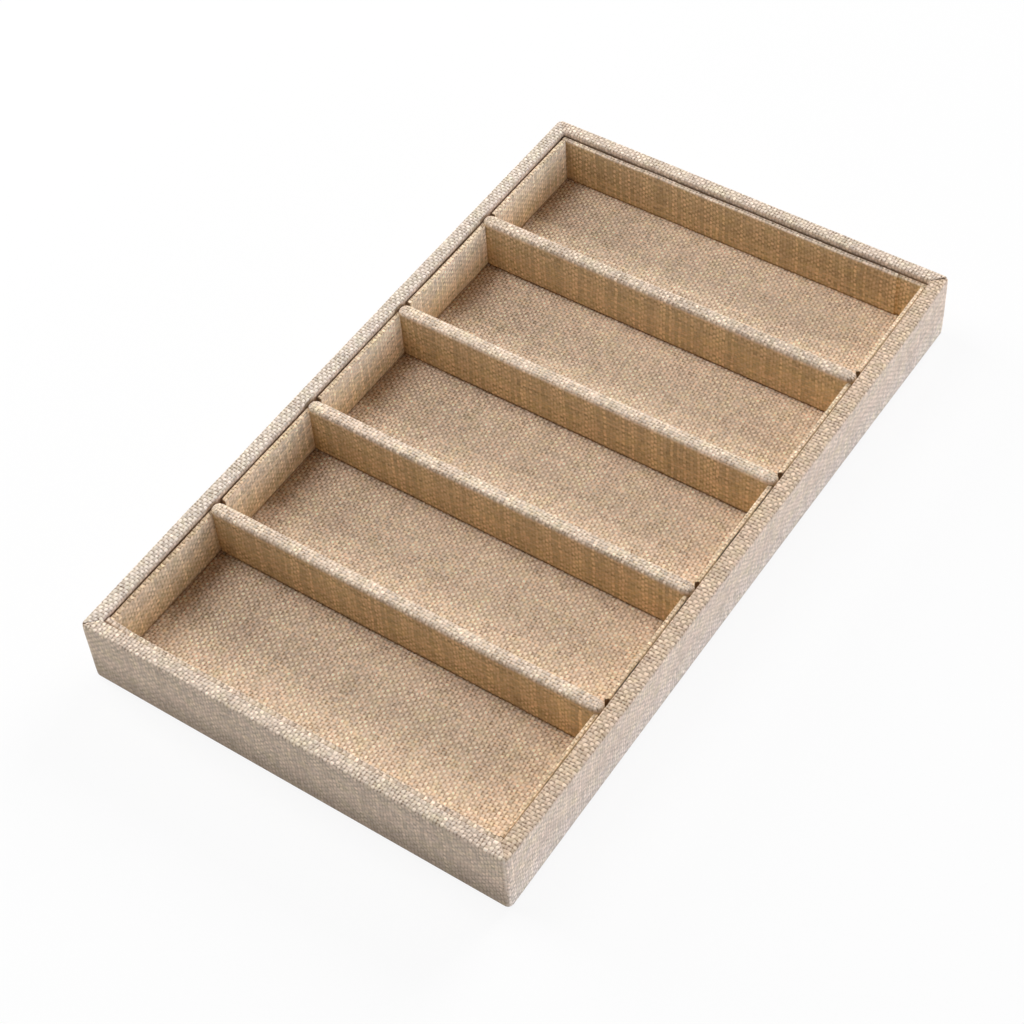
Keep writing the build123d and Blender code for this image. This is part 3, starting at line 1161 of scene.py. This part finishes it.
# %% Laying the linens on their pieces
tones_and_shade_of = {"divider": "walls", "end": "walls", "side": "sides", "floor": "floor"}
linens = {}
for family, shades in shades_of.items():
    tones_and_shade = LINEN_TONES_AND_SHADE[tones_and_shade_of.get(family, "frame")]
    linens[family] = linen(family.split("_")[-1] + "_linen", **tones_and_shade, shades=shades)
slot_linen = linen("slot_linen", **LINEN_TONES_AND_SHADE["slots"])
for piece in [o for o in bpy.data.objects if o.type == "MESH" and "linen" in o.name]:
    cover = linens.get(piece.name) or linens[piece.name.split("_")[0]]
    piece.data.materials.append(cover)
    # Liners with ends in the slots also get the slot's painted-shade linen.
    if any(polygon.material_index for polygon in piece.data.polygons):
        piece.data.materials.append(slot_linen)
    print(piece.name, "gets", cover.name)

# %% [markdown]
# ## Board, card and felt
#
# These three hardly show, but a lifted divider uncovers the cards' edges in its
# slot, and the felt is what the tray stands on. Fibreboard is a brown felted
# mat of short fibres, grey card has faint flecks of its old print, and the felt
# is dark with lighter hairs. A stretched noise gives all three.

# %% Raw board, card and felt
CLOUD_SCALE, CLOUD_SHADE = 60.0, 0.8
FLECK_START, FLECK_FULL = 0.62, 0.68


def fibrous(name, color, fleck_color, stretch, scale, share, relief):
    """A material of a ground colour with short fibres or flecks of another."""
    material, tree, shader = new_material(name, roughness=0.9)
    place = tree.nodes.new("ShaderNodeTexCoord")
    mapping = tree.nodes.new("ShaderNodeMapping")
    mapping.inputs["Scale"].default_value = stretch
    tree.links.new(place.outputs["Object"], mapping.inputs["Vector"])
    fibres = noise_of(tree, mapping.outputs[0], scale, 4.0, 0.65)
    clouds = noise_of(tree, place.outputs["Object"], CLOUD_SCALE, 2.0)
    ground = mix_colors(tree, clouds, opaque(color), opaque(color, CLOUD_SHADE))
    flecks = spread(tree, fibres, FLECK_START - share, FLECK_FULL - share / 2)
    tree.links.new(mix_colors(tree, flecks, ground, opaque(fleck_color)),
                   shader.inputs["Base Color"])
    add_bump(tree, shader, fibres, relief)
    shader.inputs["Specular IOR Level"].default_value = 0.15
    return material


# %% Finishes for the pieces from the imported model
fibreboard = fibrous("fibreboard", (0.16, 0.105, 0.06), (0.26, 0.18, 0.10), stretch=(1, 1, 3),
                     scale=900.0, share=0.12, relief=0.08 * MM)
grey_card = fibrous("grey_card", (0.30, 0.28, 0.25), (0.16, 0.15, 0.14), stretch=(1, 1, 1),
                    scale=1400.0, share=0.06, relief=0.03 * MM)
dark_felt = fibrous("dark_felt", (0.020, 0.019, 0.018), (0.07, 0.066, 0.06), stretch=(1, 0.35, 1),
                    scale=1100.0, share=0.1, relief=0.15 * MM)
raw_finishes = {"board": fibreboard, "rail": fibreboard, "card": grey_card, "underside": dark_felt}
raw_pieces = [o for o in bpy.data.objects
              if o.type == "MESH" and "linen" not in o.name and not o.hide_render]
for node in raw_pieces:
    for word, finish in raw_finishes.items():
        if word in node.name:
            node.data.materials.clear()
            node.data.materials.append(finish)
            print(node.name, "gets", finish.name)

# %% [markdown]
# ## Floor and light
#
# The photograph was taken on white with a broad soft light. The world gives the
# even part of it. Lamps are placed by compass angle and height, all aimed at
# the tray. The floor is soft white paper: to the camera it glows at a strength
# of one, mixed with its own shading so that the tray keeps its shadow. A bright
# world alone would make the picture as white, but would also flatten the cloth.

# %% Floor
FLOOR_SIZE = 2.4
FLOOR_DROP = 0.05 * MM
stage_mesh = bmesh.new()
bmesh.ops.create_grid(stage_mesh, x_segments=1, y_segments=1, size=FLOOR_SIZE)
bmesh.ops.translate(stage_mesh, verts=stage_mesh.verts, vec=(0, 0, -FLOOR_DROP))
white_floor = mesh_object("white_floor", stage_mesh)


def seen_directly(tree):
    """One for camera, glossy and transmission rays, and nought for the light on the object."""
    rays = tree.nodes.new("ShaderNodeLightPath")
    calc = calculator(tree)
    seen = calc("MAXIMUM", rays.outputs["Is Camera Ray"], rays.outputs["Is Glossy Ray"])
    return calc("MAXIMUM", seen, rays.outputs["Is Transmission Ray"])


# %% White paper
GLOW = 0.9
paper, tree, matt = new_material("white_paper", roughness=0.9)
matt.inputs["Base Color"].default_value = (0.9, 0.9, 0.9, 1)
glow = tree.nodes.new("ShaderNodeEmission")
glow.inputs["Strength"].default_value = 1.0
seen_glow = calculator(tree)("MULTIPLY", seen_directly(tree), GLOW)
blend_shaders(tree, seen_glow, matt.outputs[0], glow.outputs[0], "Material Output")
white_floor.data.materials.append(paper)
print("floor", 2 * FLOOR_SIZE, "m wide")

# %% World
bpy.context.scene.view_settings.view_transform = "Standard"
FILL = 0.03
world = bpy.data.worlds.new("world")
bpy.context.scene.world = world
world.use_nodes = True
tree = world.node_tree
soft_sky, white_view = tree.nodes["Background"], tree.nodes.new("ShaderNodeBackground")
for background, strength in ((soft_sky, FILL), (white_view, 1.0)):
    background.inputs["Color"].default_value = (1, 1, 1, 1)
    background.inputs["Strength"].default_value = strength
blend_shaders(tree, seen_directly(tree), soft_sky.outputs[0], white_view.outputs[0],
              "World Output")

# %% Lamps: compass angle, height, distance, size, power and colour
LAMPS = {
    "back": (6, 30, 3.2, 1.3, 74.0, (1.0, 1.0, 1.0)),
    "left_high": (-95, 62, 1.7, 0.9, 13.0, (1.0, 1.0, 1.0)),
    "left_low": (-92, 25, 1.7, 0.7, 13.0, (1.0, 1.0, 1.0)),
    "right_low": (90, 5.5, 1.7, 0.45, 14.4, (0.93, 1.0, 1.17)),
    "front_low": (180, 9, 1.7, 0.5, 3.2, (1.0, 1.0, 1.0)),
}


def soft_lamp(name, compass, height, distance, size, power, color):
    """A square lamp at a compass angle from the back, clockwise, aimed at the tray."""
    turn, rise = math.radians(compass), math.radians(height)
    level = math.cos(rise)
    place = distance * Vector((math.sin(turn) * level, math.cos(turn) * level, math.sin(rise)))
    data = bpy.data.lights.new(name, "AREA")
    data.shape = "SQUARE"
    data.size = size
    data.energy = power
    data.color = color
    lamp = add_object(name, data)
    aim = place.to_track_quat("Z", "Y").to_matrix().to_4x4()
    lamp.matrix_world = Matrix.Translation(place) @ aim
    print("lamp", name, power, "W")


for name, settings in LAMPS.items():
    soft_lamp(name, *settings)
